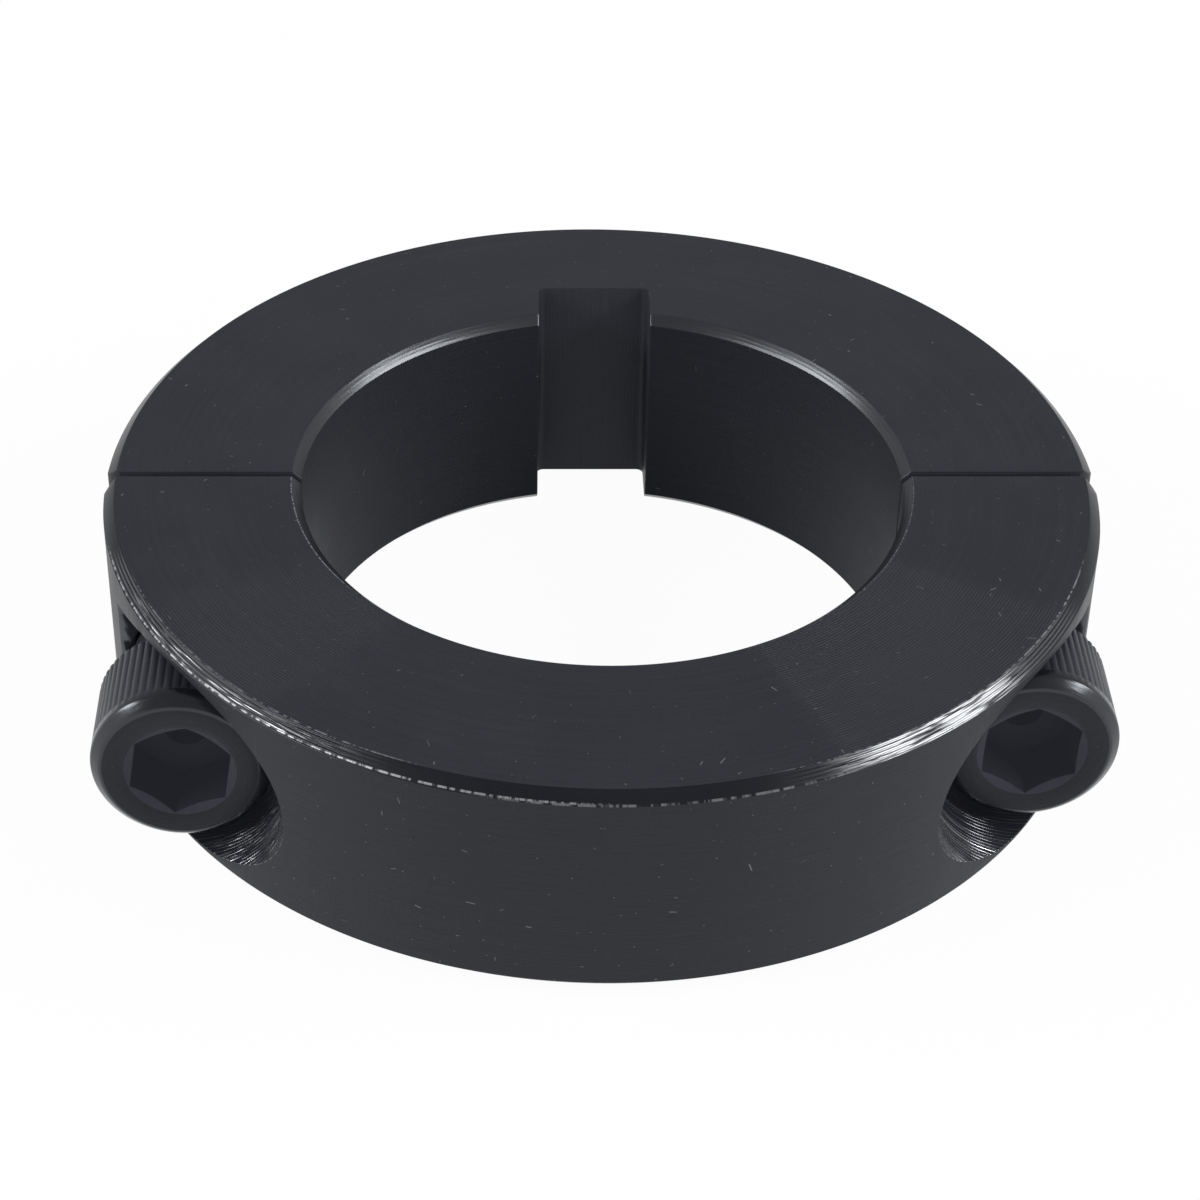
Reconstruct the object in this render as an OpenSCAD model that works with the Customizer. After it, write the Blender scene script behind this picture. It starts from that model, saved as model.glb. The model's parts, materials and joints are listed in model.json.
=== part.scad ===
// Two-piece keyed shaft collar, drawn together by two socket head cap screws.
// Millimetres. The origin is on the bore axis at the lower face of the ring, with +Z along the bore.
// The keyed half lies towards +Y and the half that holds the screw heads towards -Y.

/* [Ring] */
// Diameter of the bore that grips the shaft
bore_d = 31.75; // [25:0.05:50]
// Thickness of the ring from the bore to the outside
ring_wall = 10.32; // [10:0.02:14]
// Width of the ring along the shaft
collar_w = 12.7; // [12.2:0.1:25]
// Chamfer on the upper outer edge of the ring
upper_chamfer = 0.6; // [0.2:0.05:0.9]
// Chamfer on the lower outer edge of the ring
lower_chamfer = 0.9; // [0.2:0.05:1]
// Chamfer on both edges of the bore
bore_chamfer = 0.5; // [0.2:0.05:1]

/* [Split] */
// Width of the saw cut between the two halves
split_gap = 0.4; // [0.2:0.05:1]
// Setback of the rounded outer corners beside the saw cut
split_round = 0.8; // [0.3:0.05:1.2]

/* [Keyway] */
// Width of the keyway
key_w = 6.35; // [4:0.05:8]
// Depth of the keyway floor behind the bore wall
key_depth = 2.97; // [1.5:0.01:5]
// Rounding of the keyway's inner corners
key_round = 0.4; // [0.1:0.05:0.8]

/* [Screw seats] */
// Wall left between the bore and each screw hole
bore_web = 2.05; // [1.2:0.05:2.2]
// Distance of the screw seats from the middle of the saw cut
seat_depth = 8; // [5:0.1:8.4]
// Clearance around each screw head in its pocket
head_clearance = 0.8; // [0.3:0.05:1]
// Clearance around each screw in the hole through the front half
shank_clearance = 0.2; // [0.15:0.05:0.35]
// Running clearance around each screw in its threaded hole
thread_clearance = 0.05; // [0.02:0.01:0.1]
// Countersink at the mouth of each threaded hole
mouth_chamfer = 0.4; // [0.1:0.05:0.8]

/* [Screws] */
// Outer diameter of the screw thread
screw_d = 6.35; // [5:0.05:6.6]
// Length of each screw under its head
screw_len = 15.88; // [12:0.1:20]
// Chamfer at the tip of each screw
tip_chamfer = 0.8; // [0.3:0.05:1.2]
// Gap that the left screw leaves under its head as it stands backed off
left_backed_off = 2.9; // [0.1:0.1:5]
// Gap that the right screw leaves under its head as it stands backed off
right_backed_off = 1.6; // [0.1:0.1:5]
// Turn of the left screw about its own axis
left_turn = -9; // [-30:1:30]
// Turn of the right screw about its own axis
right_turn = -2; // [-30:1:30]

/* [Screw heads] */
// Diameter of the head over its knurl
head_d = 9; // [8.5:0.05:9.4]
// Height of the head
head_h = 5.8; // [5:0.05:8]
// Chamfer on the head's outer rim
rim_chamfer = 0.5; // [0.3:0.05:1]
// Chamfer around the underside of the head
head_chamfer = 0.5; // [0.1:0.05:0.8]
// Plain band between the rim and the knurl
plain_band = 0.5; // [0.2:0.05:1.5]
// Number of ridges around the knurl
knurl_count = 64; // [40:2:90]
// Depth of the grooves between the ridges
knurl_depth = 0.14; // [0.1:0.02:0.3]
// Width of the hexagon socket across its flats
socket_af = 4.76; // [3.5:0.01:5.5]
// Depth of the socket's flats
socket_depth = 3.2; // [2:0.1:3.8]
// Reach of the socket's countersunk mouth past the hexagon's corners
socket_lead = 0.05; // [0.03:0.01:0.4]
// Slope of the countersunk mouth from the screw's axis
mouth_slope = 45; // [40:1:70]
// Diameter of the small hole in the middle of the socket's floor
pilot_d = 2.2; // [1:0.1:3]
// Depth of that hole below the socket's flats
pilot_depth = 1.2; // [0.6:0.1:2]

/* [Hidden] */
$fn = 96;

black_oxide = [0.23, 0.235, 0.25];
dark_oxide = [0.17, 0.175, 0.19];
left = -1;
right = 1;
hexagon = 6;
floor_cone = 80;
corner_meet = 20;
knurl_crest = 0.4;
overcut = 2;

bore_r = bore_d / 2;
outer_r = bore_r + ring_wall;
screw_r = screw_d / 2;
head_r = head_d / 2;
threaded_r = screw_r + thread_clearance;
passage_r = screw_r + shank_clearance;
pocket_r = head_r + head_clearance;
screw_x = bore_r + bore_web + passage_r;
screw_z = collar_w / 2;
keyway_floor = bore_r + key_depth;
knurl_top = head_h - rim_chamfer - plain_band;
socket_r = socket_af / 2 / cos(180 / hexagon);
socket_mouth_r = socket_r + socket_lead;
mouth_h = socket_mouth_r / tan(mouth_slope);
socket_floor = head_h - socket_depth;
socket_point = socket_af / 2 / tan(floor_cone);

// Section of the ring to one side of its axis.
module ring_section() {
    polygon([
        [bore_r + bore_chamfer, 0],
        [outer_r - lower_chamfer, 0],
        [outer_r, lower_chamfer],
        [outer_r, collar_w - upper_chamfer],
        [outer_r - upper_chamfer, collar_w],
        [bore_r + bore_chamfer, collar_w],
        [bore_r, collar_w - bore_chamfer],
        [bore_r, bore_chamfer]
    ]);
}

// The sliver that rounds off one outer corner beside the saw cut, setting both of its faces back by split_round.
module split_corner() {
    corner_r = split_round / (cos(corner_meet) - sin(corner_meet));
    inset = corner_r * cos(corner_meet);
    translate([outer_r - inset, split_gap / 2 + inset])
        difference() {
            translate([0, -inset - overcut])
                square(inset + overcut);
            circle(r = corner_r);
        }
}

// Outline of the keyway and of the bore in front of it, with the corners at its floor rounded.
module keyway_section() {
    translate([-key_w / 2, 0])
        square([key_w, keyway_floor - key_round]);
    translate([key_round - key_w / 2, 0])
        square([key_w - 2 * key_round, keyway_floor]);
    for (side = [left, right]) {
        translate([side * (key_w / 2 - key_round), keyway_floor - key_round])
            circle(r = key_round);
    }
}

// Half of the ring on the +Y side of the saw cut.
module half_ring() {
    outer_box = 2 * (outer_r + overcut);
    difference() {
        rotate_extrude()
            ring_section();
        translate([-outer_box / 2, split_gap / 2 - outer_box, -overcut])
            cube([outer_box, outer_box, collar_w + 2 * overcut]);
        for (flip = [0, 1]) {
            translate([0, 0, -overcut])
                linear_extrude(collar_w + 2 * overcut)
                    mirror([flip, 0])
                        split_corner();
        }
    }
}

// Places a screw, or a hole for one, with its own +Z towards the front.
module at_screw(side, y) {
    translate([side * screw_x, y, screw_z])
        rotate([90, 0, 0])
            children();
}

// Keyed half: keyway in the bore and a threaded hole on each side that runs out through the outside.
module rear_half() {
    color(black_oxide)
        difference() {
            half_ring();
            translate([0, 0, -overcut])
                linear_extrude(collar_w + 2 * overcut)
                    keyway_section();
            for (side = [left, right]) {
                at_screw(side, outer_r)
                    cylinder(r = threaded_r, h = outer_r);
                at_screw(side, split_gap / 2 + mouth_chamfer)
                    cylinder(r1 = threaded_r, r2 = threaded_r + 2 * mouth_chamfer, h = 2 * mouth_chamfer);
            }
        }
}

// Front half: a clear hole on each side under a pocket that opens through the outside.
module front_half() {
    color(black_oxide)
        difference() {
            mirror([0, 1, 0])
                half_ring();
            for (side = [left, right]) {
                at_screw(side, 0)
                    cylinder(r = passage_r, h = seat_depth + overcut);
                at_screw(side, -seat_depth)
                    cylinder(r = pocket_r, h = outer_r);
            }
        }
}

// Section of a screw head to one side of its axis, with its rim and its underside chamfered.
module head_section() {
    polygon([
        [0, 0],
        [head_r - head_chamfer, 0],
        [head_r, head_chamfer],
        [head_r, head_h - rim_chamfer],
        [head_r - rim_chamfer, head_h],
        [0, head_h]
    ]);
}

// Outline of the knurl, with crests that stand a little past the head so that its round trims them flat.
module knurl_outline() {
    crest_r = head_r + knurl_crest * knurl_depth;
    groove_r = head_r - knurl_depth;
    polygon([
        for (i = [0 : 2 * knurl_count - 1])
            let (r = i % 2 == 0 ? crest_r : groove_r, a = 180 * i / knurl_count)
                [r * cos(a), r * sin(a)]
    ]);
}

// Hexagon socket with a countersunk mouth, a coned floor and a small hole in the middle of it.
module socket(turn) {
    rotate(turn + 90) {
        translate([0, 0, socket_floor])
            cylinder(r = socket_r, h = socket_depth + overcut, $fn = hexagon);
    }
    translate([0, 0, socket_floor - socket_point])
        cylinder(r1 = 0, r2 = socket_af / 2, h = socket_point);
    translate([0, 0, socket_floor - pilot_depth])
        cylinder(d = pilot_d, h = pilot_depth);
    translate([0, 0, head_h - mouth_h])
        cylinder(r1 = 0, r2 = 2 * socket_mouth_r, h = 2 * mouth_h);
}

// Cap screw with its underside at z = 0 and its head upwards.
module cap_screw(turn) {
    difference() {
        intersection() {
            rotate_extrude()
                head_section();
            union() {
                translate([0, 0, -overcut])
                    linear_extrude(knurl_top + overcut)
                        knurl_outline();
                translate([0, 0, knurl_top])
                    cylinder(r = head_r + overcut, h = head_h);
            }
        }
        socket(turn);
    }
    rotate_extrude()
        polygon([
            [0, -screw_len],
            [screw_r - tip_chamfer, -screw_len],
            [screw_r, tip_chamfer - screw_len],
            [screw_r, 0],
            [0, 0]
        ]);
}

module left_screw() {
    color(dark_oxide)
        at_screw(left, -seat_depth - left_backed_off)
            cap_screw(left_turn);
}

module right_screw() {
    color(dark_oxide)
        at_screw(right, -seat_depth - right_backed_off)
            cap_screw(right_turn);
}

rear_half();
front_half();
left_screw();
right_screw();
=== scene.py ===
import json
from math import atan2, cos, pi, radians, sin, tan, tau
from typing import Callable, NamedTuple

import bmesh
import bpy
from bpy.props import FloatProperty, FloatVectorProperty, IntProperty, PointerProperty
from mathutils import Euler, Matrix, Vector


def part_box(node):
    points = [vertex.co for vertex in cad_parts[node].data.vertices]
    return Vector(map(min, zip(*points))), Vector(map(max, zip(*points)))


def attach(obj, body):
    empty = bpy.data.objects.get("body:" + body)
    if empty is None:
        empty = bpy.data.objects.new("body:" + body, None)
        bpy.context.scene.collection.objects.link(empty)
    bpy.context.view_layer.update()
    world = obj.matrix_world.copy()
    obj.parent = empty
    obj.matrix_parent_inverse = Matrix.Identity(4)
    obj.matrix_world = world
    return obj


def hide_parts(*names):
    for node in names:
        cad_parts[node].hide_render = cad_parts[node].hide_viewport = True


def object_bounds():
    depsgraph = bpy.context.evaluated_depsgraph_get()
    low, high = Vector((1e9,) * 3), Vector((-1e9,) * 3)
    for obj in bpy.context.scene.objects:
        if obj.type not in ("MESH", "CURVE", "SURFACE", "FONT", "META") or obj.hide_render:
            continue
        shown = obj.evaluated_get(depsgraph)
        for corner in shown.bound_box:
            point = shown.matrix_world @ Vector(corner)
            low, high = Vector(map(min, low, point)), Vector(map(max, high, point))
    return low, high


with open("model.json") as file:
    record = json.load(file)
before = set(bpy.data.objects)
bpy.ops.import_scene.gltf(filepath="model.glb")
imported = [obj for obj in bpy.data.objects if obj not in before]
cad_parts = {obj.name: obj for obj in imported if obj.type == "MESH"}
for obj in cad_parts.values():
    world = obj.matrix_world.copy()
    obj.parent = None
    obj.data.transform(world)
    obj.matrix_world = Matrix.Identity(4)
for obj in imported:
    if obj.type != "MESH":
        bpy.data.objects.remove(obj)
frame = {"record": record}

bl_info = {
    "name": "Axle lock collar",
    "version": (1, 0, 0),
    "blender": (4, 5, 0),
    "location": "View3D > Sidebar > Axle collar",
    "description": "Models a split, keyed shaft collar in blackened steel, its cap screws and a white studio",
    "category": "Object",
}

MM = 0.001
CAD_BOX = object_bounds()

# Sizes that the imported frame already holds
REAR_LOW, REAR_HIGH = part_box("rear_half")
SCREW_LOW, SCREW_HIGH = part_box("right_screw")
SCREW_MIDDLE = (SCREW_LOW + SCREW_HIGH) / 2
BORE_MOUNT = next(mount for mount in frame["record"]["mounts"] if mount["name"] == "bore")

# Fineness of the meshes
RING_STEPS = 360
HOLE_STEPS = 128
CORNER_STEPS = 12
EDGE_SEGMENTS = 3
RIM_SEGMENTS = 4
THREAD_STEPS = 48
COLUMNS_PER_RIDGE = 6
WELD = 1e-6
OVERCUT = 2 * MM
SHARP_EDGE = radians(35)

# Depth of each column of vertices across one ridge of the knurl, as a share of the groove's depth
GROOVE_SHARES = {2: 0.4, 3: 1.0, 4: 0.4}

# Size, spacing, greatest length and turning of the specks and scratches, and how rare long ones are
SPECK_SIZE = 0.04 * MM
SPECK_SPACING = 1.1 * MM
SCRATCH_LENGTH = 0.45 * MM
SCRATCH_TURNS = 50.0
SCRATCH_RARITY = 8.0

# Width and length of the bright lines and nicks on worn edges
BURR_WIDTH = 0.06 * MM
BURR_LENGTH = 2.4 * MM
NICK_LENGTH = 0.3 * MM

# Length over which a stretch of arc fades out
SOFT_END = 4 * MM

# Clouds and grain of the oxide, per metre
CLOUD_SCALE = 220.0
GRAIN_SCALE = 9000.0

# Shares of the wear that the oxide's own unevenness and the tops of the tool marks give
PATCH_WEAR = 0.24
RIDGE_WEAR = 0.45

# Spread of the roughness, and height of the grain beside that of the tool marks
GLOSS_SPREAD = 0.2
GRAIN_HEIGHT = 0.08

# Lightness of the floor's paper
PAPER = 0.9

# Gap that keeps the floor from touching the lower face
FLOOR_GAP = 0.02 * MM

COLLAR_FINISHES = (
    "turned_face",
    "turned_outside",
    "outer_chamfer",
    "bore_wall",
    "bore_chamfer",
    "sawn_face",
    "keyway_wall",
    "pocket_wall",
    "tapped_hole",
)
SCREW_FINISHES = ("head_face", "head_rim", "knurl", "socket", "socket_mouth", "screw_thread")


def length(name, description, default):
    """A size in metres, shown in the scene's units."""
    return FloatProperty(
        name=name, description=description, default=default, min=0, unit="LENGTH", precision=5
    )


def angle(name, description, degrees):
    """An angle, given in degrees."""
    return FloatProperty(name=name, description=description, default=radians(degrees), subtype="ANGLE")


def share(name, description, default):
    """A number from 0 to 1."""
    return FloatProperty(
        name=name, description=description, default=default, min=0, max=1, subtype="FACTOR"
    )


def power(name, description, default):
    """The power of a lamp in watts."""
    return FloatProperty(name=name, description=description, default=default, min=0, unit="POWER")


def place(name, description, default):
    """A point in metres."""
    return FloatVectorProperty(
        name=name, description=description, default=default, subtype="TRANSLATION", unit="LENGTH"
    )


def colour(name, description, default):
    """A linear colour."""
    return FloatVectorProperty(
        name=name, description=description, default=default, min=0, max=1, subtype="COLOR"
    )


class CollarSizes(bpy.types.PropertyGroup):
    """Sizes of the two halves of the ring"""

    outer_radius: length("Outer radius", "Radius of the ring's outside", REAR_HIGH.y)
    bore_radius: length("Bore radius", "Radius of the bore", BORE_MOUNT["dims"]["r_mm"] * MM)
    width: length("Width", "Width of the ring along the shaft", REAR_HIGH.z)
    upper_chamfer: length("Upper chamfer", "Chamfer on the upper outer edge of the ring", 0.6 * MM)
    lower_chamfer: length("Lower chamfer", "Chamfer on the lower outer edge of the ring", 0.9 * MM)
    bore_chamfer: length("Bore chamfer", "Chamfer on the edges of the bore", 0.5 * MM)
    split_gap: length("Saw cut", "Width of the saw cut between the halves", 2 * REAR_LOW.y)
    split_round: length("Split rounding", "Setback of the rounded corners beside the saw cut", 0.8 * MM)
    split_meet: angle("Split corner", "Angle at which that corner meets the outside and the saw cut", 20)
    key_width: length("Keyway width", "Width of the keyway", 6.35 * MM)
    key_floor: length("Keyway floor", "Distance of the keyway's floor from the bore axis", 18.845 * MM)
    key_round: length("Keyway rounding", "Rounding of the keyway's inner corners", 0.4 * MM)
    seat_depth: length("Seat depth", "Distance of the screw seats from the middle of the saw cut", 8 * MM)
    pocket_radius: length("Pocket radius", "Radius of the pocket round each screw head", 5.3 * MM)
    passage_radius: length("Passage radius", "Radius of the clear hole under each pocket", 3.375 * MM)
    tapped_crest: length("Tapped crest radius", "Inner radius of the threads in the rear half", 3.2 * MM)
    tapped_root: length("Tapped root radius", "Outer radius of the threads in the rear half", 3.5 * MM)
    mouth_chamfer: length("Mouth chamfer", "Countersink at the mouth of each threaded hole", 0.4 * MM)
    edge_round: length("Edge rounding", "Rounding of the turned edges", 0.03 * MM)
    cut_round: length("Cut rounding", "Rounding of the sawn and milled edges", 0.05 * MM)


class ScrewSizes(bpy.types.PropertyGroup):
    """Sizes and places of the two cap screws"""

    axis_x: length("Axis offset", "Distance of each screw from the bore axis", SCREW_MIDDLE.x)
    axis_z: length("Axis height", "Height of each screw above the lower face", SCREW_MIDDLE.z)
    head_radius: length("Head radius", "Radius of the head over its knurl", SCREW_HIGH.z - SCREW_MIDDLE.z)
    head_height: length("Head height", "Height of the head", 5.8 * MM)
    rim_chamfer: length("Rim chamfer", "Chamfer on the head's outer rim", 0.5 * MM)
    rim_round: length("Rim rounding", "Rounding of both edges of the rim's chamfer", 0.12 * MM)
    head_chamfer: length("Head chamfer", "Chamfer round the underside of the head", 0.5 * MM)
    plain_band: length("Plain band", "Plain band between the rim and the knurl", 0.5 * MM)
    knurl_count: IntProperty(name="Knurl ridges", description="Ridges round the head", default=64, min=12)
    knurl_depth: length("Knurl depth", "Depth of the grooves between the ridges", 0.06 * MM)
    knurl_fade: length("Knurl run-out", "Length over which a groove runs out at its end", 0.2 * MM)
    socket_flats: length("Socket width", "Width of the socket across its flats", 4.76 * MM)
    socket_depth: length("Socket depth", "Depth of the socket's flats", 3.2 * MM)
    socket_lead: length("Socket lead", "Reach of the mouth past the hexagon's corners", 0.05 * MM)
    mouth_slope: angle("Mouth slope", "Slope of the countersunk mouth from the axis", 60)
    pilot_radius: length("Pilot radius", "Radius of the small hole in the socket's floor", 1.1 * MM)
    pilot_depth: length("Pilot depth", "Depth of that hole below the socket's flats", 1.2 * MM)
    floor_cone: angle("Floor cone", "Half angle of the cone at the socket's floor", 80)
    shank_length: length("Shank length", "Length of the screw under its head", 15.88 * MM)
    crest_radius: length("Thread crest radius", "Outer radius of the screw's thread", 3.13 * MM)
    root_radius: length("Thread root radius", "Inner radius of the screw's thread", 2.64 * MM)
    neck_length: length("Neck length", "Plain neck between the head and the thread", 1.0 * MM)
    tip_chamfer: length("Tip chamfer", "Chamfer at the tip of the screw", 0.8 * MM)
    pitch: length("Thread pitch", "Travel of the thread in one turn", 25.4 / 28 * MM)
    left_turn: angle("Left turn", "Turn of the left screw about its axis", -9)
    right_turn: angle("Right turn", "Turn of the right screw about its axis", -2)


class SteelFinish(bpy.types.PropertyGroup):
    """Colours of the blackened steel"""

    oxide: colour("Oxide", "Colour of the black oxide", (0.0165, 0.0175, 0.0235))
    # The worn oxide's colour also tints the painted glow that lifts the shade in deep recesses
    worn_oxide_and_painted_glow: colour("Worn oxide", "Colour of the oxide where it is thin", (0.032, 0.033, 0.041))
    bare_steel: colour("Bare steel", "Colour of nicks and burrs", (0.55, 0.56, 0.58))
    dust: colour("Dust", "Colour of specks and scratches", (0.16, 0.16, 0.17))
    sheen_tint: colour("Sheen tint", "Tint of what the oxide reflects", (0.9, 0.94, 1.0))


class StudioSettings(bpy.types.PropertyGroup):
    """Light, floor and camera"""

    ceiling: share("Ceiling", "Lightness of the surroundings overhead", 0.28)
    haze_low: share("Haze start", "Height at which the white horizon starts to darken", 0.18)
    haze_top: share("Haze end", "Height at which the surroundings reach the ceiling's lightness", 0.62)
    back_shade: share("Back shade", "Lightness of the horizon behind the collar", 0.25)
    left_energy: power("Left power", "Power of the left lamp", 1.6)
    right_energy: power("Right power", "Power of the right lamp", 1.8)
    left_lamp: place("Left lamp", "Place of the left lamp", (-0.42, -0.044, 0.265))
    right_lamp: place("Right lamp", "Place of the right lamp", (0.41, -0.072, 0.277))
    lamp_width: length("Lamp width", "Width of each lamp", 0.34)
    lamp_height: length("Lamp height", "Height of each lamp", 0.12)
    floor_glow: share("Floor glow", "Share of the floor's white that shadows don't dim", 0.96)
    floor_size: length("Floor size", "Half the side of the floor", 3.0)
    camera_place: place("Camera place", "Place of the camera", (-5.736 * MM, -133.499 * MM, 104.915 * MM))
    camera_turn: FloatVectorProperty(
        name="Camera turn",
        description="Turn of the camera",
        default=(radians(53.028), radians(-1.118), radians(-1.625)),
        subtype="EULER",
        unit="ROTATION",
    )
    camera_lens: FloatProperty(
        name="Lens", description="Focal length in millimetres", default=92.084, min=1, unit="CAMERA"
    )


# Mesh helpers


def paint(bm, finish, finishes):
    """Gives every face of a mesh one finish."""
    for face in bm.faces:
        face.material_index = finishes.index(finish)


def close_holes(bm):
    """Fills every open outline of a mesh and returns the new faces."""
    rims = [edge for edge in bm.edges if edge.is_boundary]
    return bmesh.ops.holes_fill(bm, edges=rims, sides=0)["faces"]


def tidy(bm):
    """Merges doubles and turns the faces outwards."""
    bmesh.ops.remove_doubles(bm, verts=bm.verts, dist=WELD)
    bmesh.ops.recalc_face_normals(bm, faces=bm.faces)


def temporary_object(bm):
    """An object that lives only while a cut is worked out."""
    mesh = bpy.data.meshes.new("cut")
    bm.to_mesh(mesh)
    obj = bpy.data.objects.new("cut", mesh)
    bpy.context.collection.objects.link(obj)
    return obj


def discard(obj):
    """Removes an object together with its mesh."""
    mesh = obj.data
    bpy.data.objects.remove(obj)
    bpy.data.meshes.remove(mesh)


def combine(bm, tool, operation):
    """Cuts, joins or trims a mesh with a tool mesh, which is used up. The faces keep their finishes."""
    body_object, tool_object = temporary_object(bm), temporary_object(tool)
    modifier = body_object.modifiers.new("combine", "BOOLEAN")
    modifier.object = tool_object
    modifier.operation = operation
    modifier.solver = "EXACT"
    modifier.material_mode = "INDEX"
    evaluated = body_object.evaluated_get(bpy.context.evaluated_depsgraph_get())
    result = bpy.data.meshes.new_from_object(evaluated)
    bm.clear()
    bm.from_mesh(result)
    bpy.data.meshes.remove(result)
    discard(body_object)
    discard(tool_object)
    tool.free()
    if not bm.faces:
        raise RuntimeError(f"{operation} left no faces")


def outline_face(bm, points):
    """One face through points in the XZ plane."""
    return bm.faces.new([bm.verts.new((x, 0, z)) for x, z in points])


def round_corners(bm, corners, radius, segments):
    """Rounds corners of a flat outline."""
    bmesh.ops.bevel(
        bm,
        geom=corners,
        offset=radius,
        offset_type="OFFSET",
        segments=segments,
        profile=0.5,
        affect="VERTICES",
        material=-1,
    )


def revolve(bm, steps):
    """Turns the outline into a solid about Z, leaving out edges that lie on the axis."""
    bmesh.ops.delete(bm, geom=bm.faces[:], context="FACES_ONLY")
    on_axis = [edge for edge in bm.edges if max(vert.co.x for vert in edge.verts) < WELD]
    bmesh.ops.delete(bm, geom=on_axis, context="EDGES")
    bmesh.ops.spin(
        bm,
        geom=bm.verts[:] + bm.edges[:],
        cent=(0, 0, 0),
        axis=(0, 0, 1),
        dvec=(0, 0, 0),
        angle=tau,
        steps=steps,
        use_merge=True,
        use_duplicate=False,
    )
    tidy(bm)


def revolved(points, steps):
    """A solid of revolution about Z from an outline of (radius, height) points."""
    bm = bmesh.new()
    outline_face(bm, points)
    revolve(bm, steps)
    return bm


def threaded_rod(root, crest, pitch, low, high):
    """A right-hand threaded rod about Z, cut square at both ends."""
    flat = pitch / 8
    flank = (pitch - 3 * flat) / 2
    start = low - pitch
    steps = THREAD_STEPS * (int((high - low) / pitch) + 3)
    bm = bmesh.new()
    profile = (
        (root, 0),
        (root, 2 * flat),
        (crest, 2 * flat + flank),
        (crest, 3 * flat + flank),
        (root, pitch),
    )
    verts = [bm.verts.new((radius, 0, start + height)) for radius, height in profile]
    edges = [bm.edges.new(pair) for pair in zip(verts, verts[1:])]
    bmesh.ops.spin(
        bm,
        geom=verts + edges,
        cent=(0, 0, 0),
        axis=(0, 0, 1),
        dvec=(0, 0, pitch / THREAD_STEPS),
        angle=tau * steps / THREAD_STEPS,
        steps=steps,
        use_duplicate=False,
    )
    bmesh.ops.remove_doubles(bm, verts=bm.verts, dist=WELD)
    for height, normal in ((low, (0, 0, 1)), (high, (0, 0, -1))):
        bmesh.ops.bisect_plane(
            bm,
            geom=bm.verts[:] + bm.edges[:] + bm.faces[:],
            dist=WELD,
            plane_co=(0, 0, height),
            plane_no=normal,
            clear_inner=True,
        )
    close_holes(bm)
    tidy(bm)
    return bm


def at_screw(bm, side, y):
    """Moves a mesh that was modelled about Z onto a screw's axis, with its own +Z towards -Y."""
    sizes = bpy.context.scene.collar_screws
    shift = Matrix.Translation((side * sizes.axis_x, y, sizes.axis_z))
    bmesh.ops.transform(bm, matrix=shift @ Matrix.Rotation(pi / 2, 4, "X"), verts=bm.verts)
    return bm


def soften_cuts(bm, offset, finishes, left_sharp):
    """Rounds the sharp edges of a mesh, apart from those beside one finish."""
    keep = finishes.index(left_sharp)
    bmesh.ops.dissolve_degenerate(bm, edges=bm.edges, dist=offset / 3)
    edges = [
        edge
        for edge in bm.edges
        if edge.is_manifold
        and edge.calc_face_angle() > SHARP_EDGE
        and all(face.material_index != keep for face in edge.link_faces)
    ]
    bmesh.ops.bevel(
        bm,
        geom=edges,
        offset=offset,
        offset_type="OFFSET",
        segments=2,
        profile=0.5,
        affect="EDGES",
        clamp_overlap=False,
        material=-1,
    )


def drop_slivers(bm):
    """Merges doubles and takes out faces of no width and points that only two edges meet."""
    bmesh.ops.remove_doubles(bm, verts=bm.verts, dist=WELD)
    bmesh.ops.dissolve_degenerate(bm, edges=bm.edges, dist=WELD)
    spare = [vert for vert in bm.verts if len(vert.link_edges) == 2]
    bmesh.ops.dissolve_verts(bm, verts=spare)


def add_piece(name, bm, materials):
    """Puts a finished mesh into the scene in place of the CAD node and on the body of the same name."""
    drop_slivers(bm)
    if any(not edge.is_manifold for edge in bm.edges):
        raise RuntimeError(f"{name} isn't closed")
    mesh = bpy.data.meshes.new(name)
    bm.to_mesh(mesh)
    bm.free()
    mesh.shade_smooth()
    mesh.set_sharp_from_angle(angle=SHARP_EDGE)
    for material in materials:
        mesh.materials.append(material)
    piece = bpy.data.objects.new(f"{name}_finished", mesh)
    bpy.context.collection.objects.link(piece)
    weighting = piece.modifiers.new("even shading", "WEIGHTED_NORMAL")
    weighting.keep_sharp = True
    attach(piece, name)
    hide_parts(name)
    return piece


# The two halves of the ring


def ring_finish(face):
    """Name of the finish of a face of the plain ring, from the way it faces."""
    middle = face.calc_center_median()
    outwards = face.normal.dot(Vector((middle.x, middle.y, 0)).normalized())
    if abs(face.normal.z) > cos(radians(22.5)):
        return "turned_face"
    if abs(outwards) > cos(radians(22.5)):
        return "turned_outside" if outwards > 0 else "bore_wall"
    return "outer_chamfer" if outwards > 0 else "bore_chamfer"


def half_ring(sizes):
    """Half of the ring on the +Y side of the saw cut."""
    inner, outer, width = sizes.bore_radius, sizes.outer_radius, sizes.width
    upper_cut, lower_cut, inner_cut = sizes.upper_chamfer, sizes.lower_chamfer, sizes.bore_chamfer
    bm = bmesh.new()
    outline_face(
        bm,
        (
            (inner + inner_cut, 0),
            (outer - lower_cut, 0),
            (outer, lower_cut),
            (outer, width - upper_cut),
            (outer - upper_cut, width),
            (inner + inner_cut, width),
            (inner, width - inner_cut),
            (inner, inner_cut),
        ),
    )
    round_corners(bm, bm.verts[:], sizes.edge_round, EDGE_SEGMENTS)
    revolve(bm, RING_STEPS)
    for face in bm.faces:
        face.material_index = COLLAR_FINISHES.index(ring_finish(face))
    bmesh.ops.bisect_plane(
        bm,
        geom=bm.verts[:] + bm.edges[:] + bm.faces[:],
        dist=WELD,
        plane_co=(0, sizes.split_gap / 2, 0),
        plane_no=(0, 1, 0),
        clear_inner=True,
    )
    for face in close_holes(bm):
        face.material_index = COLLAR_FINISHES.index("sawn_face")
    bmesh.ops.recalc_face_normals(bm, faces=bm.faces)
    for side in (-1, 1):
        combine(bm, split_corner(sizes, side), "DIFFERENCE")
    return bm


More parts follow.
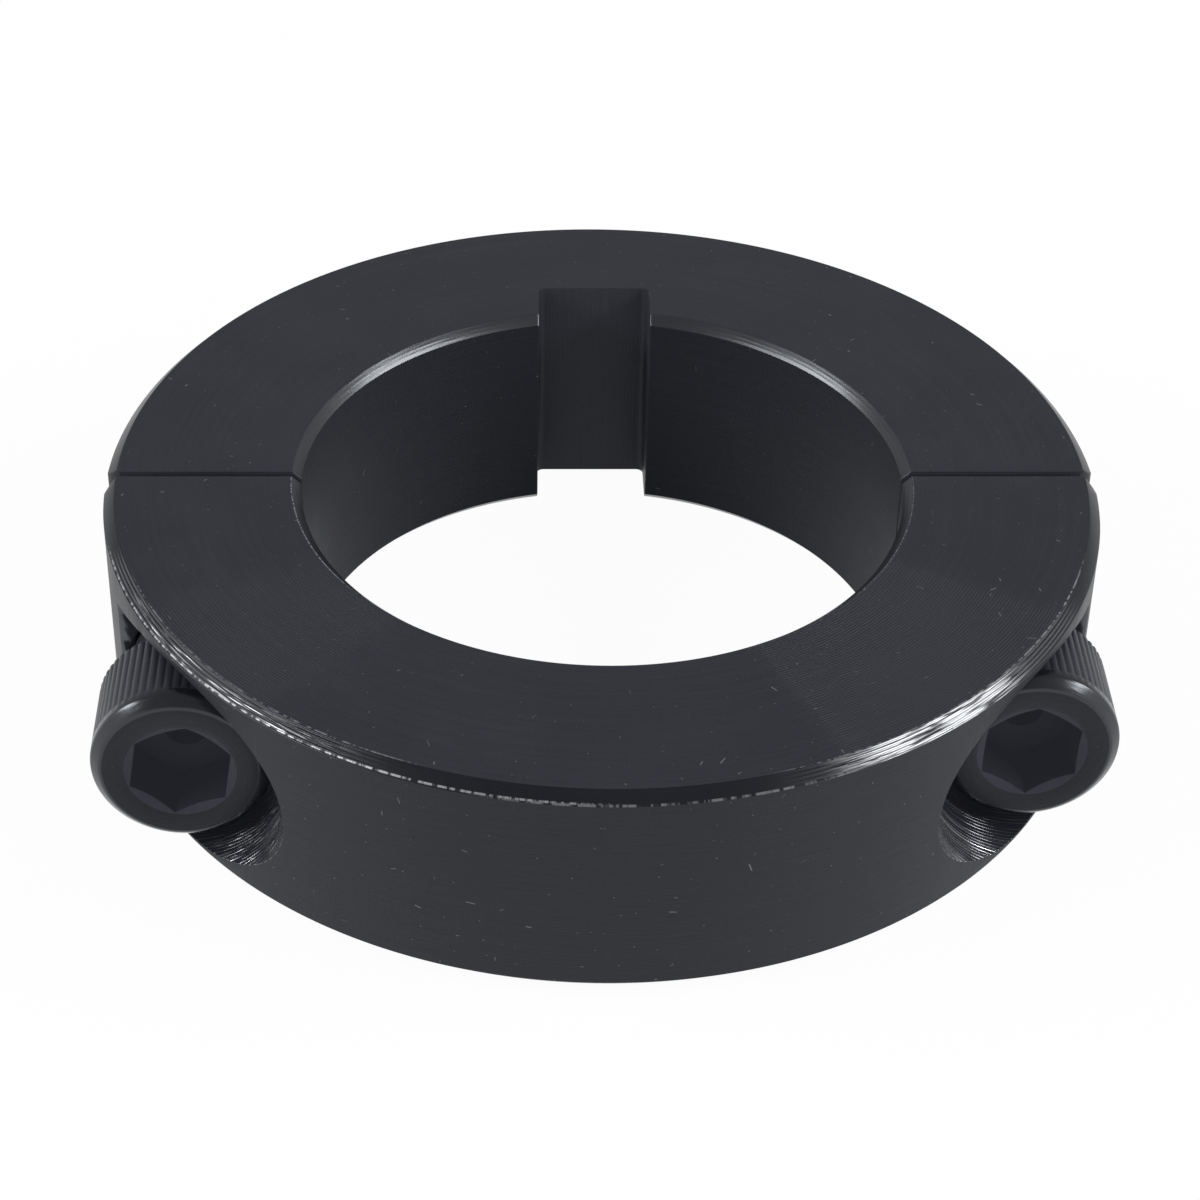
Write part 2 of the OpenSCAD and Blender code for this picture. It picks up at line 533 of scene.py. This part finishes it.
def split_corner(sizes, side):
    """The sliver that rounds off one outer corner beside the saw cut."""
    radius = sizes.split_round / (cos(sizes.split_meet) - sin(sizes.split_meet))
    inset = radius * cos(sizes.split_meet)
    centre = Vector((sizes.outer_radius - inset, sizes.split_gap / 2 + inset, -OVERCUT))
    reach = radius + OVERCUT
    bm = bmesh.new()
    start = bm.verts.new(centre + Vector((0, -radius, 0)))
    bmesh.ops.spin(
        bm,
        geom=[start],
        cent=centre,
        axis=(0, 0, 1),
        angle=pi / 2,
        steps=CORNER_STEPS,
        use_duplicate=False,
    )
    arc = sorted(bm.verts, key=lambda vert: atan2(vert.co.y - centre.y, vert.co.x - centre.x))
    ways = (reach, 0, 0), (reach, -reach, 0), (0, -reach, 0)
    outside = [bm.verts.new(centre + Vector(way)) for way in ways]
    floor = bm.faces.new(arc + outside)
    raised = bmesh.ops.extrude_face_region(bm, geom=[floor])["geom"]
    top = [part for part in raised if isinstance(part, bmesh.types.BMVert)]
    bmesh.ops.translate(bm, vec=(0, 0, sizes.width + 2 * OVERCUT), verts=top)
    if side < 0:
        bmesh.ops.scale(bm, vec=(-1, 1, 1), verts=bm.verts)
    tidy(bm)
    paint(bm, "turned_outside", COLLAR_FINISHES)
    return bm


def keyway_cutter(sizes):
    """Block that cuts the keyway, with its far corners rounded."""
    bm = bmesh.new()
    bmesh.ops.create_cube(bm, size=1)
    block = Matrix.Diagonal((sizes.key_width, sizes.key_floor, sizes.width + 2 * OVERCUT, 1))
    middle = Matrix.Translation((0, sizes.key_floor / 2, sizes.width / 2))
    bmesh.ops.transform(bm, matrix=middle @ block, verts=bm.verts)
    far = [edge for edge in bm.edges if all(vert.co.y > sizes.key_floor - WELD for vert in edge.verts)]
    upright = [edge for edge in far if abs(edge.verts[0].co.x - edge.verts[1].co.x) < WELD]
    bmesh.ops.bevel(
        bm,
        geom=upright,
        offset=sizes.key_round,
        offset_type="OFFSET",
        segments=5,
        profile=0.5,
        affect="EDGES",
        material=-1,
    )
    paint(bm, "keyway_wall", COLLAR_FINISHES)
    return bm


def tapped_cutter(sizes, screws):
    """Threaded rod that cuts one tapped hole, about Z."""
    bm = threaded_rod(sizes.tapped_crest, sizes.tapped_root, screws.pitch, -OVERCUT, sizes.outer_radius)
    paint(bm, "tapped_hole", COLLAR_FINISHES)
    return bm


def mouth_cutter(sizes):
    """Cone that countersinks the mouth of a tapped hole, about Z, with the saw cut at z = 0."""
    reach = sizes.mouth_chamfer
    wide = sizes.tapped_crest + 2 * reach
    bm = revolved(((0, -reach), (sizes.tapped_crest, -reach), (wide, reach), (0, reach)), HOLE_STEPS)
    paint(bm, "tapped_hole", COLLAR_FINISHES)
    return bm


def pocket_cutter(sizes):
    """Clear hole and pocket for one screw, about Z, with the middle of the saw cut at z = 0."""
    bm = revolved(
        (
            (0, -OVERCUT),
            (sizes.passage_radius, -OVERCUT),
            (sizes.passage_radius, sizes.seat_depth),
            (sizes.pocket_radius, sizes.seat_depth),
            (sizes.pocket_radius, sizes.outer_radius + OVERCUT),
            (0, sizes.outer_radius + OVERCUT),
        ),
        HOLE_STEPS,
    )
    paint(bm, "pocket_wall", COLLAR_FINISHES)
    return bm


class COLLAR_OT_rear_half(bpy.types.Operator):
    """Model the keyed half of the ring with its two tapped holes"""

    bl_idname = "axle_collar.rear_half"
    bl_label = "Rear half"

    def execute(self, context):
        sizes, screws = context.scene.collar_sizes, context.scene.collar_screws
        bm = half_ring(sizes)
        combine(bm, keyway_cutter(sizes), "DIFFERENCE")
        for side in (-1, 1):
            rod = at_screw(tapped_cutter(sizes, screws), side, 0)
            bmesh.ops.scale(rod, vec=(1, -1, 1), verts=rod.verts)
            bmesh.ops.recalc_face_normals(rod, faces=rod.faces)
            combine(bm, rod, "DIFFERENCE")
            combine(bm, at_screw(mouth_cutter(sizes), side, sizes.split_gap / 2), "DIFFERENCE")
        soften_cuts(bm, sizes.cut_round, COLLAR_FINISHES, "tapped_hole")
        add_piece("rear_half", bm, collar_materials())
        return {"FINISHED"}


class COLLAR_OT_front_half(bpy.types.Operator):
    """Model the half of the ring that holds the screw heads"""

    bl_idname = "axle_collar.front_half"
    bl_label = "Front half"

    def execute(self, context):
        sizes = context.scene.collar_sizes
        bm = half_ring(sizes)
        bmesh.ops.scale(bm, vec=(1, -1, 1), verts=bm.verts)
        bmesh.ops.recalc_face_normals(bm, faces=bm.faces)
        for side in (-1, 1):
            combine(bm, at_screw(pocket_cutter(sizes), side, 0), "DIFFERENCE")
        soften_cuts(bm, sizes.cut_round, COLLAR_FINISHES, "tapped_hole")
        add_piece("front_half", bm, collar_materials())
        return {"FINISHED"}


# The cap screws


def screw_head(sizes):
    """Knurled head about Z with its underside at z = 0, still without its socket."""
    radius, height = sizes.head_radius, sizes.head_height
    knurl_top = height - sizes.rim_chamfer - sizes.plain_band
    bm = bmesh.new()
    outline_face(
        bm,
        (
            (0, 0),
            (radius - sizes.head_chamfer, 0),
            (radius, sizes.head_chamfer),
            (radius, knurl_top - sizes.knurl_fade),
            (radius, knurl_top),
            (radius, height - sizes.rim_chamfer),
            (radius - sizes.rim_chamfer, height),
            (0, height),
        ),
    )
    rim = [vert for vert in bm.verts if vert.co.x > WELD and vert.co.z > knurl_top + WELD]
    round_corners(bm, rim, sizes.rim_round, RIM_SEGMENTS)
    columns = sizes.knurl_count * COLUMNS_PER_RIDGE
    revolve(bm, columns)
    for column, depth in GROOVE_SHARES.items():
        groove = [
            vert
            for vert in bm.verts
            if sizes.head_chamfer - WELD < vert.co.z < knurl_top - WELD
            and round(atan2(vert.co.y, vert.co.x) / tau * columns) % COLUMNS_PER_RIDGE == column
        ]
        inwards = 1 - depth * sizes.knurl_depth / radius
        bmesh.ops.scale(bm, vec=(inwards, inwards, 1), verts=groove)
    for face in bm.faces:
        middle = face.calc_center_median().z
        finish = "head_face" if middle > height - WELD else "head_rim" if middle > knurl_top else "knurl"
        face.material_index = SCREW_FINISHES.index(finish)
    return bm


def cut_socket(bm, sizes, turn):
    """Sinks the hexagon socket, its countersunk mouth, its coned floor and the small hole in that floor."""
    inner = sizes.socket_flats / 2
    corner = inner / cos(pi / 6)
    floor = sizes.head_height - sizes.socket_depth
    mouth = corner + sizes.socket_lead
    top = sizes.head_height + OVERCUT
    hexagon = revolved(((0, floor), (corner, floor), (corner, top), (0, top)), 6)
    turned = Matrix.Rotation(turn + pi / 2, 3, "Z")
    bmesh.ops.rotate(hexagon, cent=(0, 0, 0), matrix=turned, verts=hexagon.verts)
    point = floor - inner / tan(sizes.floor_cone)
    drill = revolved(((0, point), (inner, floor), (0, floor + MM)), HOLE_STEPS)
    rise = mouth / tan(sizes.mouth_slope)
    low, high = sizes.head_height - rise, sizes.head_height + rise
    sink = revolved(((0, low), (2 * mouth, high), (0, high)), HOLE_STEPS)
    pilot = revolved(
        (
            (0, floor - sizes.pilot_depth),
            (sizes.pilot_radius, floor - sizes.pilot_depth),
            (sizes.pilot_radius, floor),
            (0, floor),
        ),
        HOLE_STEPS,
    )
    tools = (hexagon, "socket"), (drill, "socket"), (pilot, "socket"), (sink, "socket_mouth")
    for tool, finish in tools:
        paint(tool, finish, SCREW_FINISHES)
        combine(bm, tool, "DIFFERENCE")


def screw_shank(sizes):
    """Threaded shank about Z, from inside the head down to its chamfered tip."""
    tip = -sizes.shank_length
    inside = sizes.head_chamfer
    bm = threaded_rod(sizes.root_radius, sizes.crest_radius, sizes.pitch, tip, inside)
    envelope = revolved(
        (
            (0, tip),
            (sizes.crest_radius - sizes.tip_chamfer, tip),
            (sizes.crest_radius + MM, tip + sizes.tip_chamfer + MM),
            (sizes.crest_radius + MM, -sizes.neck_length),
            (sizes.root_radius, -sizes.neck_length / 2),
            (sizes.root_radius, inside),
            (0, inside),
        ),
        HOLE_STEPS,
    )
    paint(bm, "screw_thread", SCREW_FINISHES)
    paint(envelope, "screw_thread", SCREW_FINISHES)
    combine(bm, envelope, "INTERSECT")
    return bm


class COLLAR_OT_screws(bpy.types.Operator):
    """Model the two knurled cap screws"""

    bl_idname = "axle_collar.screws"
    bl_label = "Cap screws"

    def execute(self, context):
        sizes = context.scene.collar_screws
        screws = ("left_screw", -1, sizes.left_turn), ("right_screw", 1, sizes.right_turn)
        for name, side, turn in screws:
            bm = screw_head(sizes)
            cut_socket(bm, sizes, turn)
            combine(bm, screw_shank(sizes), "UNION")
            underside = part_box(name)[0].y + sizes.head_height
            at_screw(bm, side, underside)
            bmesh.ops.recalc_face_normals(bm, faces=bm.faces)
            add_piece(name, bm, screw_materials())
        return {"FINISHED"}


# Materials


class Wiring:
    """Adds nodes to one tree and links their sockets."""

    def __init__(self, tree):
        self.tree = tree
        tree.nodes.clear()

    def add(self, kind, sockets=None, **settings):
        """A node with its settings and its sockets set or linked."""
        node = self.tree.nodes.new(kind)
        for name, value in settings.items():
            setattr(node, name, value)
        for key, value in (sockets or {}).items():
            if isinstance(value, bpy.types.NodeSocket):
                self.tree.links.new(value, node.inputs[key])
            else:
                node.inputs[key].default_value = value
        return node

    def math(self, operation, *values):
        """Result of a Math node."""
        return self.add("ShaderNodeMath", dict(enumerate(values)), operation=operation).outputs[0]

    def vector(self, x, y, z=0.0):
        """A vector from three numbers."""
        return self.add("ShaderNodeCombineXYZ", {0: x, 1: y, 2: z}).outputs[0]

    def noise(self, place, scale, detail=2.0, roughness=0.5):
        """Soft noise from about 0.3 to 0.7."""
        sockets = {"Vector": place, "Scale": scale, "Detail": detail, "Roughness": roughness}
        return self.add("ShaderNodeTexNoise", sockets).outputs[0]

    def ramp(self, value, low, high):
        """Smooth step from 0 at low to 1 at high."""
        sockets = {"Value": value, "From Min": low, "From Max": high}
        return self.add("ShaderNodeMapRange", sockets, interpolation_type="SMOOTHSTEP").outputs[0]

    def within(self, value, low, high, soft):
        """1 from low to high, and 0 past them by more than soft."""
        rise, fall = self.ramp(value, low - soft, low), self.ramp(value, high + soft, high)
        return self.math("MULTIPLY", rise, fall)

    def parts(self, vector):
        """The three numbers of a vector."""
        return self.add("ShaderNodeSeparateXYZ", {0: vector}).outputs

    def mix(self, factor, first, second):
        """Blend of two colours."""
        sockets = {0: factor, 6: first, 7: second}
        return self.add("ShaderNodeMix", sockets, data_type="RGBA").outputs[2]


def ring_axes(wiring, x, y, z):
    """Radius and arc about the bore axis, for faces turned across the end of the ring."""
    squares = wiring.math("MULTIPLY_ADD", x, x, wiring.math("MULTIPLY", y, y))
    radius = wiring.math("SQRT", squares)
    arc = wiring.math("MULTIPLY", wiring.math("ARCTAN2", y, x), CAD_BOX[1].x)
    return radius, arc


def barrel_axes(wiring, x, y, z):
    """Height and arc about the bore axis, for walls turned along the ring."""
    return z, ring_axes(wiring, x, y, z)[1]


def sawn_axes(wiring, x, y, z):
    """Height and width, for the sawn faces."""
    return z, x


def broached_axes(wiring, x, y, z):
    """Across and along the keyway's strokes."""
    return wiring.math("ADD", x, y), z


def milled_axes(wiring, x, y, z):
    """Depth and girth of the pockets."""
    return y, wiring.math("ADD", x, z)


def head_axes(wiring, x, y, z):
    """Radius and arc about the nearer screw's axis."""
    sizes = bpy.context.scene.collar_screws
    aside = wiring.math("SUBTRACT", wiring.math("ABSOLUTE", x), sizes.axis_x)
    above = wiring.math("SUBTRACT", z, sizes.axis_z)
    return ring_axes(wiring, aside, above, y)


class Finish(NamedTuple):
    """Look of one machined surface."""

    axes: Callable
    # Distance between the tool marks, the slope of their ridges, and the length over which they change
    pitch: float
    slope: float
    run: float
    roughness: float
    # Share of the pitch that each ridge takes up
    ridge: float = 0.5
    # Lightness of the oxide, set per surface partly as painted light and shade, its specular level, and a
    # painted glow, an emission that lifts the shade in deep recesses
    tone: float = 1.0
    sheen: float = 0.25
    sky_haze_and_painted_glow: float = 0.0
    # Share of the patches that carry a speck or a scratch
    specks: float = 0.0
    # Stretches of arc as (from, to, amount), in degrees, on which the tool marks show. None means all round
    marked: tuple = ()
    # Share of the sheen that is left outside those stretches
    dull: float = 1.0
    # Bright edges as (low, high, from, to, amount): a band across the marks and a stretch of arc
    burrs: tuple = ()


def stretch(wiring, along, first, last):
    """1 on a stretch of arc between two angles in degrees about the bore axis, with soft ends."""
    radius = CAD_BOX[1].x
    return wiring.within(along, radians(first) * radius, radians(last) * radius, SOFT_END)


def marked_arcs(wiring, along, look):
    """How strongly the tool marks show along the arc."""
    amounts = [
        wiring.math("MULTIPLY", stretch(wiring, along, first, last), amount)
        for first, last, amount in look.marked
    ]
    return wiring.math("MAXIMUM", *amounts)


def tool_marks(wiring, across, along, look):
    """Height of the ridges that a tool leaves, and the uneven streaks along them."""
    turns = wiring.math("DIVIDE", across, look.pitch)
    length = wiring.math("DIVIDE", along, look.run)
    streaks = wiring.noise(wiring.vector(turns, length), 1.0, 2.0, 0.6)
    offset = wiring.math("SUBTRACT", wiring.math("FRACT", turns), 0.5)
    ridges = wiring.ramp(wiring.math("ABSOLUTE", offset), 0.5 - look.ridge, 0.5)
    if look.marked:
        strength = marked_arcs(wiring, along, look)
    else:
        strength = wiring.ramp(streaks, 0.3, 0.7)
    return wiring.math("MULTIPLY", ridges, strength), streaks


def specks(wiring, across, along, amount):
    """Dust specks and a few short scratches that lie every way, one in some of the patches."""
    flat = wiring.vector(across, along)
    cells = wiring.add(
        "ShaderNodeTexVoronoi", {"Vector": flat, "Scale": 1 / SPECK_SPACING}, voronoi_dimensions="2D"
    ).outputs
    chance, turn, reach = wiring.add("ShaderNodeSeparateColor", {0: cells["Color"]}).outputs
    ends = {0: flat, 1: cells["Position"]}
    offset = wiring.add("ShaderNodeVectorMath", ends, operation="SUBTRACT").outputs[0]
    sockets = {"Vector": offset, "Angle": wiring.math("MULTIPLY", turn, SCRATCH_TURNS)}
    turned = wiring.add("ShaderNodeVectorRotate", sockets, rotation_type="Z_AXIS").outputs[0]
    ahead, aside, _ = wiring.parts(turned)
    half = wiring.math("MULTIPLY", wiring.math("POWER", reach, SCRATCH_RARITY), SCRATCH_LENGTH / 2)
    past_end = wiring.math("SUBTRACT", wiring.math("ABSOLUTE", ahead), half)
    thin = wiring.ramp(wiring.math("ABSOLUTE", aside), SPECK_SIZE, SPECK_SIZE / 4)
    short = wiring.ramp(past_end, SPECK_SIZE, SPECK_SIZE / 4)
    some = wiring.ramp(chance, 1 - amount, 1.0)
    return wiring.math("MULTIPLY", wiring.math("MULTIPLY", thin, short), some)


def burr(wiring, across, along, band):
    """Bright marks on a worn edge: a row of nicks on a narrow band, broken lines on a wide one."""
    low, high, first, last, amount = band
    if high - low > 3 * BURR_WIDTH:
        rows = wiring.math("DIVIDE", across, BURR_WIDTH)
        length = wiring.math("DIVIDE", along, BURR_LENGTH)
        # The larger the amount, the more of the noise shows as lines
        least = 0.6 - 0.2 * amount
        shown = wiring.ramp(wiring.noise(wiring.vector(rows, length), 1.0, 2.0), least, least + 0.08)
    else:
        length = wiring.math("DIVIDE", along, NICK_LENGTH)
        nicks = wiring.noise(wiring.vector(length, low / BURR_WIDTH), 1.0, 3.0, 0.6)
        shown = wiring.math("MULTIPLY", wiring.ramp(nicks, 0.42, 0.58), amount)
    soft = max(BURR_WIDTH / 2, (high - low) / 6)
    edge = wiring.math("MULTIPLY", wiring.within(across, low, high, soft), shown)
    return wiring.math("MULTIPLY", edge, stretch(wiring, along, first, last))


def toned(tint, tone):
    """A colour made lighter or darker, with its alpha."""
    return (*(tone * part for part in tint), 1)


def blackened_steel(name, look):
    """Black oxide over tool marks, with specks, scratches and burrs of bare steel, lightened or darkened per
    surface partly as painted light and shade, and with a painted glow in recesses.
    """
    finish = bpy.context.scene.collar_finish
    material = bpy.data.materials.new(name)
    material.use_nodes = True
    wiring = Wiring(material.node_tree)
    spot = wiring.add("ShaderNodeTexCoord").outputs["Object"]
    across, along = look.axes(wiring, *wiring.parts(spot))
    scallops, streaks = tool_marks(wiring, across, along, look)
    sheen = look.sheen
    if look.dull < 1:
        dulled = look.sheen * look.dull
        sheen = wiring.math("MULTIPLY_ADD", marked_arcs(wiring, along, look), look.sheen - dulled, dulled)
    clouds = wiring.noise(spot, CLOUD_SCALE, 3.0, 0.55)
    grain = wiring.noise(spot, GRAIN_SCALE, 2.0, 0.6)

    patches = wiring.math("ADD", wiring.ramp(clouds, 0.3, 0.9), wiring.ramp(grain, 0.3, 0.8))
    uneven = wiring.math("ADD", wiring.ramp(streaks, 0.3, 0.8), patches)
    worn = wiring.math("MULTIPLY", uneven, PATCH_WEAR)
    if look.marked:
        worn = wiring.math("MULTIPLY_ADD", scallops, RIDGE_WEAR, worn)
    # The tone makes the oxide lighter or darker per surface, partly as painted light and shade
    base = wiring.mix(worn, toned(finish.oxide, look.tone), toned(finish.worn_oxide_and_painted_glow, look.tone))
    bare = 0.0
    for band in look.burrs:
        bare = wiring.math("MAXIMUM", burr(wiring, across, along, band), bare)
    if look.burrs:
        base = wiring.mix(bare, base, (*finish.bare_steel, 1))
    if look.specks:
        base = wiring.mix(specks(wiring, across, along, look.specks), base, (*finish.dust, 1))

    gloss = wiring.math("MULTIPLY_ADD", wiring.math("SUBTRACT", clouds, 0.5), GLOSS_SPREAD, look.roughness)
    height = wiring.math("MULTIPLY_ADD", grain, GRAIN_HEIGHT, scallops)
    depth = look.slope * look.ridge * look.pitch
    bump = wiring.add("ShaderNodeBump", {"Strength": 1.0, "Distance": depth, "Height": height})
    shader = wiring.add(
        "ShaderNodeBsdfPrincipled",
        {
            "Base Color": base,
            "Metallic": bare,
            "Roughness": gloss,
            "Specular IOR Level": sheen,
            "Specular Tint": (*finish.sheen_tint, 1),
            # Painted glow: an emission in the worn oxide's colour that lifts the shade in deep recesses
            "Emission Color": (*finish.worn_oxide_and_painted_glow, 1),
            "Emission Strength": look.sky_haze_and_painted_glow,
            "Normal": bump.outputs[0],
        },
    )
    wiring.add("ShaderNodeOutputMaterial", {"Surface": shader.outputs[0]})
    return material


def made_once(name, look):
    """A material that is made once and used by every piece that asks for it."""
    return bpy.data.materials.get(name) or blackened_steel(name, look)


def collar_materials():
    """The ring's finishes, in the order of COLLAR_FINISHES."""
    sizes = bpy.context.scene.collar_sizes
    outer, chamfered = sizes.outer_radius, sizes.outer_radius - sizes.upper_chamfer
    bored = sizes.bore_radius + sizes.bore_chamfer
    edge_lines = (
        (outer - 0.11 * MM, outer - 0.07 * MM, -160, -98, 0.85),
        (outer - 0.45 * MM, outer - 0.1 * MM, -150, -126, 0.2),
        (outer - 0.55 * MM, outer - 0.05 * MM, -60, -46, 0.9),
        (outer - 0.07 * MM, outer - 0.02 * MM, -98, -60, 0.25),
    )
    rim_nicks = (
        (chamfered - 0.08 * MM, chamfered, -152, -118, 0.4),
        (chamfered - 0.06 * MM, chamfered, -66, -24, 0.5),
        (bored, bored + 0.04 * MM, -180, -148, 0.7),
        (bored, bored + 0.03 * MM, -35, -5, 0.3),
    )
    # In the pockets the stretch is their girth, as the same degrees of the ring's arc
    pocket_glints = (
        (-19.6 * MM, -16.5 * MM, -44, -30, 0.15),
        (-19.6 * MM, -16.5 * MM, 44, 52, 0.1),
    )
    # Tones lighten or darken the same oxide per surface, partly as painted light and shade, and hazes are a
    # painted glow that lifts the shade in the saw cut, keyway and pockets
    looks = {
        "turned_face": Finish(
            ring_axes,
            0.165 * MM,
            0.9,
            20 * MM,
            0.42,
            ridge=0.25,
            tone=1.2,
            specks=0.4,
            marked=((-150, -132, 0.55), (-60, -34, 1.5)),
            burrs=rim_nicks,
        ),
        "turned_outside": Finish(barrel_axes, 0.09 * MM, 0.12, 6 * MM, 0.45, tone=0.7, specks=0.5),
        "outer_chamfer": Finish(
            ring_axes,
            0.14 * MM,
            0.6,
            30 * MM,
            0.3,
            tone=0.5,
            sheen=0.55,
            marked=((-158, -122, 1.0), (-66, -32, 1.0)),
            dull=0.4,
            burrs=edge_lines,
        ),
        "bore_wall": Finish(
            barrel_axes, 0.14 * MM, 0.08, 12 * MM, 0.5, tone=0.82, sheen=0.1, specks=0.15
        ),
        "bore_chamfer": Finish(ring_axes, 0.16 * MM, 0.06, 4 * MM, 0.3, tone=0.6, sheen=0.9),
        "sawn_face": Finish(sawn_axes, 0.25 * MM, 0.2, 8 * MM, 0.5, sky_haze_and_painted_glow=0.25, specks=0.1),
        "keyway_wall": Finish(broached_axes, 0.2 * MM, 0.05, 10 * MM, 0.5, tone=1.3, sky_haze_and_painted_glow=0.05),
        "pocket_wall": Finish(
            milled_axes,
            0.25 * MM,
            0.9,
            3 * MM,
            0.18,
            ridge=0.25,
            tone=0.7,
            sheen=1.0,
            sky_haze_and_painted_glow=0.15,
            burrs=pocket_glints,
        ),
        "tapped_hole": Finish(milled_axes, 0.1 * MM, 0.1, 3 * MM, 0.42),
    }
    return [made_once(name, looks[name]) for name in COLLAR_FINISHES]


def screw_materials():
    """The screws' finishes, in the order of SCREW_FINISHES."""
    # Tones lighten or darken the same oxide per surface, partly as painted light and shade, and hazes are a
    # painted glow that lifts the shade in the sockets
    looks = {
        "head_face": Finish(head_axes, 0.3 * MM, 0.03, 4 * MM, 0.5, tone=0.7, specks=0.1),
        "head_rim": Finish(head_axes, 0.2 * MM, 0.03, 4 * MM, 0.25, tone=0.6, sheen=0.6),
        "knurl": Finish(milled_axes, 0.3 * MM, 0.03, 1 * MM, 0.42, tone=1.3, sheen=0.35),
        "socket": Finish(head_axes, 0.3 * MM, 0.03, 4 * MM, 0.5, tone=0.7, sheen=0.1, sky_haze_and_painted_glow=0.42),
        "socket_mouth": Finish(head_axes, 0.3 * MM, 0.03, 4 * MM, 0.5, tone=1.0, sheen=0.1, sky_haze_and_painted_glow=0.6),
        "screw_thread": Finish(milled_axes, 0.3 * MM, 0.03, 3 * MM, 0.4),
    }
    return [made_once(name, looks[name]) for name in SCREW_FINISHES]


# Stage


def seen_directly(wiring):
    """1 for rays from the camera, off metal or through glass, and 0 for light that falls on a surface."""
    path = wiring.add("ShaderNodeLightPath").outputs
    either = wiring.math("MAXIMUM", path["Is Camera Ray"], path["Is Glossy Ray"])
    return wiring.math("MAXIMUM", either, path["Is Transmission Ray"])


def white_floor(studio):
    """White floor whose shadow stays faint."""
    material = bpy.data.materials.new("white_floor")
    material.use_nodes = True
    wiring = Wiring(material.node_tree)
    paper = wiring.add("ShaderNodeBsdfDiffuse", {"Color": (PAPER, PAPER, PAPER, 1)})
    glow = wiring.add("ShaderNodeEmission", {"Color": (1, 1, 1, 1), "Strength": 1.0})
    factor = wiring.math("MULTIPLY", seen_directly(wiring), studio.floor_glow)
    blend = wiring.add("ShaderNodeMixShader", {0: factor, 1: paper.outputs[0], 2: glow.outputs[0]})
    wiring.add("ShaderNodeOutputMaterial", {"Surface": blend.outputs[0]})
    return material


class COLLAR_OT_stage(bpy.types.Operator):
    """Set up the floor, the light and the camera"""

    bl_idname = "axle_collar.stage"
    bl_label = "Stage"

    def execute(self, context):
        scene, studio = context.scene, context.scene.collar_studio
        scene.view_settings.view_transform = "Standard"
        self.add_floor(context, studio)
        self.add_world(scene, studio)
        self.add_lamps(context, studio)
        self.add_camera(context, studio)
        return {"FINISHED"}

    def add_floor(self, context, studio):
        bm = bmesh.new()
        bmesh.ops.create_grid(bm, x_segments=1, y_segments=1, size=studio.floor_size)
        bmesh.ops.translate(bm, vec=(0, 0, -FLOOR_GAP), verts=bm.verts)
        mesh = bpy.data.meshes.new("floor")
        bm.to_mesh(mesh)
        bm.free()
        mesh.materials.append(white_floor(studio))
        floor = bpy.data.objects.new("floor", mesh)
        context.collection.objects.link(floor)

    def add_world(self, scene, studio):
        world = bpy.data.worlds.new("white_surroundings")
        world.use_nodes = True
        wiring = Wiring(world.node_tree)
        _, behind, height = wiring.parts(wiring.add("ShaderNodeTexCoord").outputs["Generated"])
        ahead = wiring.ramp(behind, 0.6, 0.0)
        front = wiring.math("MULTIPLY_ADD", ahead, 1 - studio.back_shade, studio.back_shade)
        sky_haze_and_painted_glow = wiring.math("MULTIPLY", wiring.ramp(height, studio.haze_top, studio.haze_low), front)
        strength = wiring.math("MULTIPLY_ADD", sky_haze_and_painted_glow, 1 - studio.ceiling, studio.ceiling)
        sky = wiring.add("ShaderNodeBackground", {"Color": (1, 1, 1, 1), "Strength": strength})
        wiring.add("ShaderNodeOutputWorld", {"Surface": sky.outputs[0]})
        scene.world = world

    def add_lamps(self, context, studio):
        lamps = ("left_lamp", studio.left_energy), ("right_lamp", studio.right_energy)
        for name, energy in lamps:
            lamp = bpy.data.lights.new(name, "AREA")
            lamp.energy = energy
            lamp.shape = "RECTANGLE"
            lamp.size, lamp.size_y = studio.lamp_width, studio.lamp_height
            holder = bpy.data.objects.new(name, lamp)
            holder.location = getattr(studio, name)
            holder.rotation_euler = (-holder.location).to_track_quat("-Z", "Y").to_euler()
            holder.visible_camera = False
            context.collection.objects.link(holder)

    def add_camera(self, context, studio):
        camera = bpy.data.cameras.new("camera")
        camera.lens = studio.camera_lens
        camera.clip_start = MM
        holder = bpy.data.objects.new("camera", camera)
        holder.location = studio.camera_place
        holder.rotation_euler = Euler(studio.camera_turn)
        context.collection.objects.link(holder)
        context.scene.camera = holder


class COLLAR_PT_build(bpy.types.Panel):
    """Sizes, finishes and build steps of the axle lock collar"""

    bl_idname = "COLLAR_PT_build"
    bl_label = "Axle lock collar"
    bl_space_type = "VIEW_3D"
    bl_region_type = "UI"
    bl_category = "Axle collar"

    def draw(self, context):
        layout = self.layout
        for group in PROPERTY_GROUPS:
            box = layout.box()
            settings = getattr(context.scene, group)
            for name in settings.__annotations__:
                box.prop(settings, name)
        for operator in OPERATORS:
            layout.operator(operator.bl_idname)


PROPERTY_GROUPS = {
    "collar_sizes": CollarSizes,
    "collar_screws": ScrewSizes,
    "collar_finish": SteelFinish,
    "collar_studio": StudioSettings,
}
OPERATORS = (COLLAR_OT_rear_half, COLLAR_OT_front_half, COLLAR_OT_screws, COLLAR_OT_stage)


def register():
    for name, group in PROPERTY_GROUPS.items():
        bpy.utils.register_class(group)
        setattr(bpy.types.Scene, name, PointerProperty(type=group))
    for kind in (*OPERATORS, COLLAR_PT_build):
        bpy.utils.register_class(kind)


def unregister():
    for kind in (COLLAR_PT_build, *reversed(OPERATORS)):
        bpy.utils.unregister_class(kind)
    for name, group in reversed(PROPERTY_GROUPS.items()):
        delattr(bpy.types.Scene, name)
        bpy.utils.unregister_class(group)


def main():
    register()
    bpy.ops.axle_collar.rear_half()
    bpy.ops.axle_collar.front_half()
    bpy.ops.axle_collar.screws()
    bpy.ops.axle_collar.stage()


if __name__ == "__main__":
    main()
